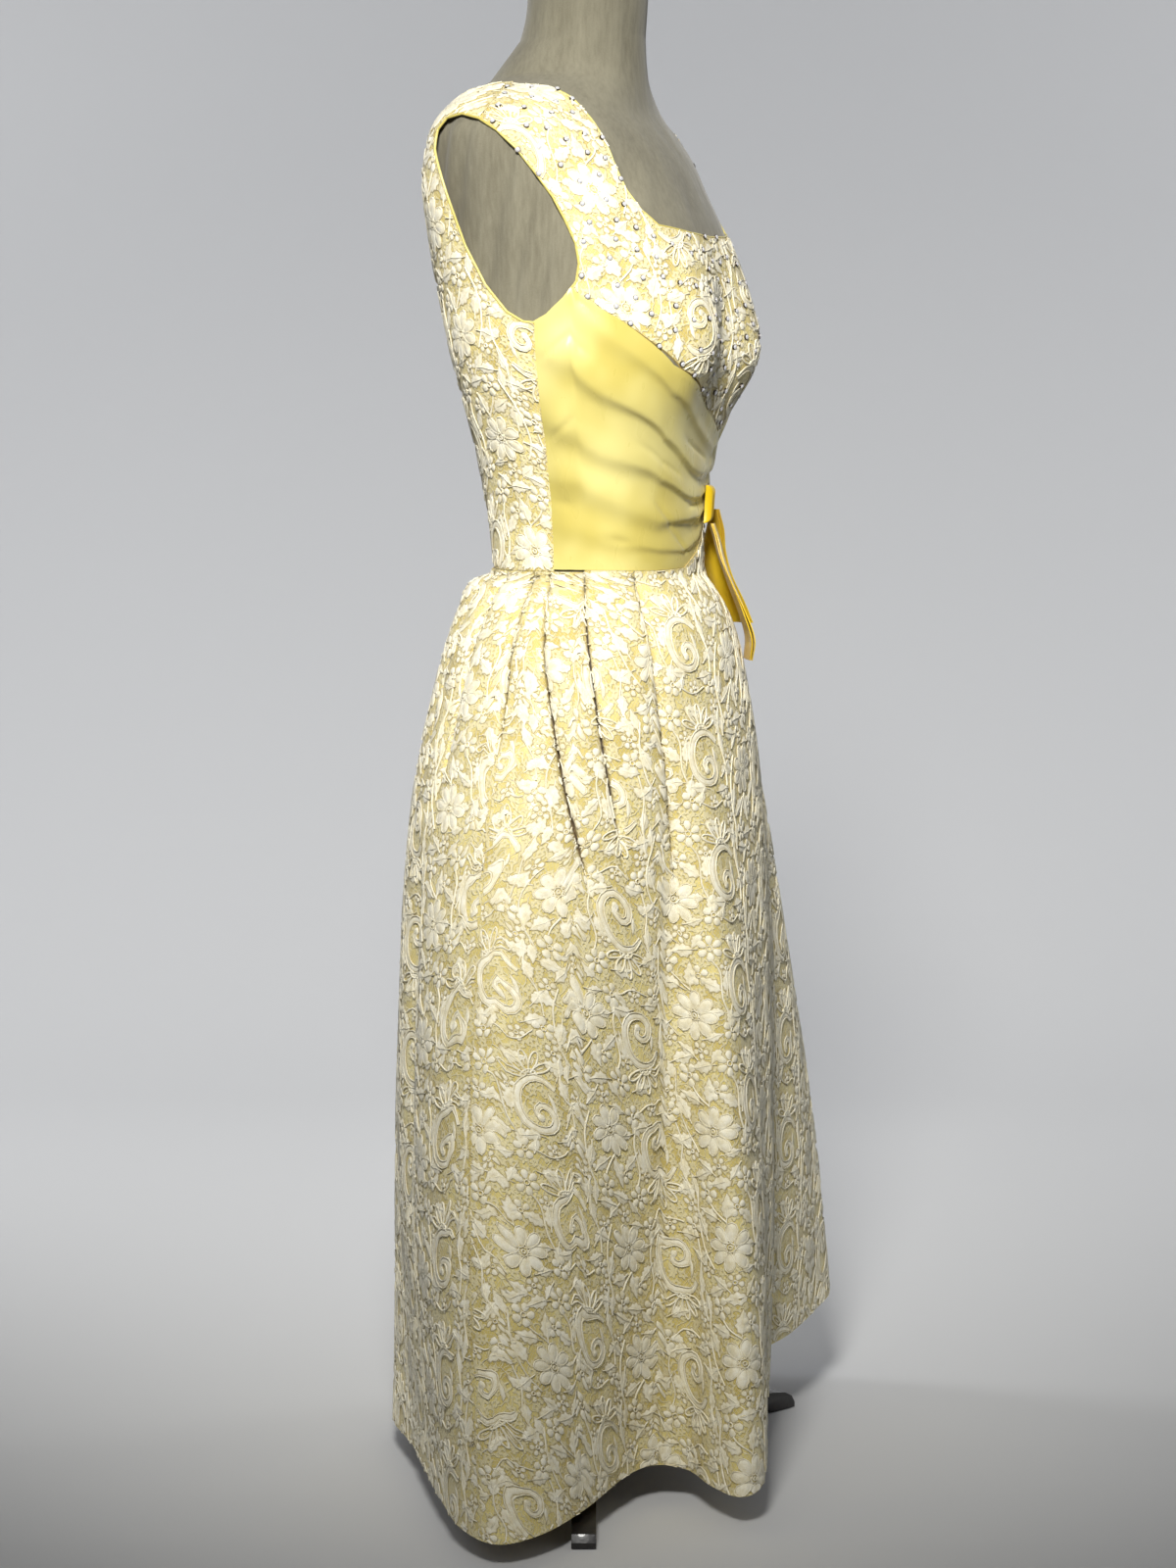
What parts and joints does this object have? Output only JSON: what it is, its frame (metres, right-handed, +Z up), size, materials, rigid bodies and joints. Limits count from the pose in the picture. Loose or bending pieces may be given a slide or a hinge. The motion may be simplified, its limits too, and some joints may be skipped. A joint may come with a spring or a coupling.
{
  "type": "lace gown on a dress form",
  "caption": "Sleeveless lace evening gown with a draped satin midriff and long flared skirt, worn on a limbless dress form with a tripod stand.",
  "frame": {"origin": "on the floor, under the middle of the whole part's bounding box", "axes": "+Z up, -Y is the front of the gown, -X is the wearer's right"},
  "size_m": [0.6866, 0.468, 1.402],
  "materials": {
    "jersey": "matte grey-beige linen jersey stretched over the form",
    "lace": "ivory corded flower and scroll lace on fine net over pale yellow satin",
    "satin": "soft pale yellow satin, draped",
    "gold_satin": "deep gold satin",
    "zip_metal": "worn metal",
    "stand_iron": "black painted iron"
  },
  "bodies": {
    "root": {"form_torso": "jersey", "bodice_front": "lace", "bodice_back_right": "lace", "bodice_back_left": "lace", "midriff_drape_right": "satin", "midriff_drape_left": "satin", "skirt_front": "lace", "skirt_back_right": "lace", "skirt_back_left": "lace", "bow_knot": "gold_satin", "bow_tail_front": "gold_satin", "bow_tail_side": "gold_satin", "zip_pull": "zip_metal", "stand_pole": "stand_iron", "stand_base": "stand_iron"}
  },
  "joints": []
}
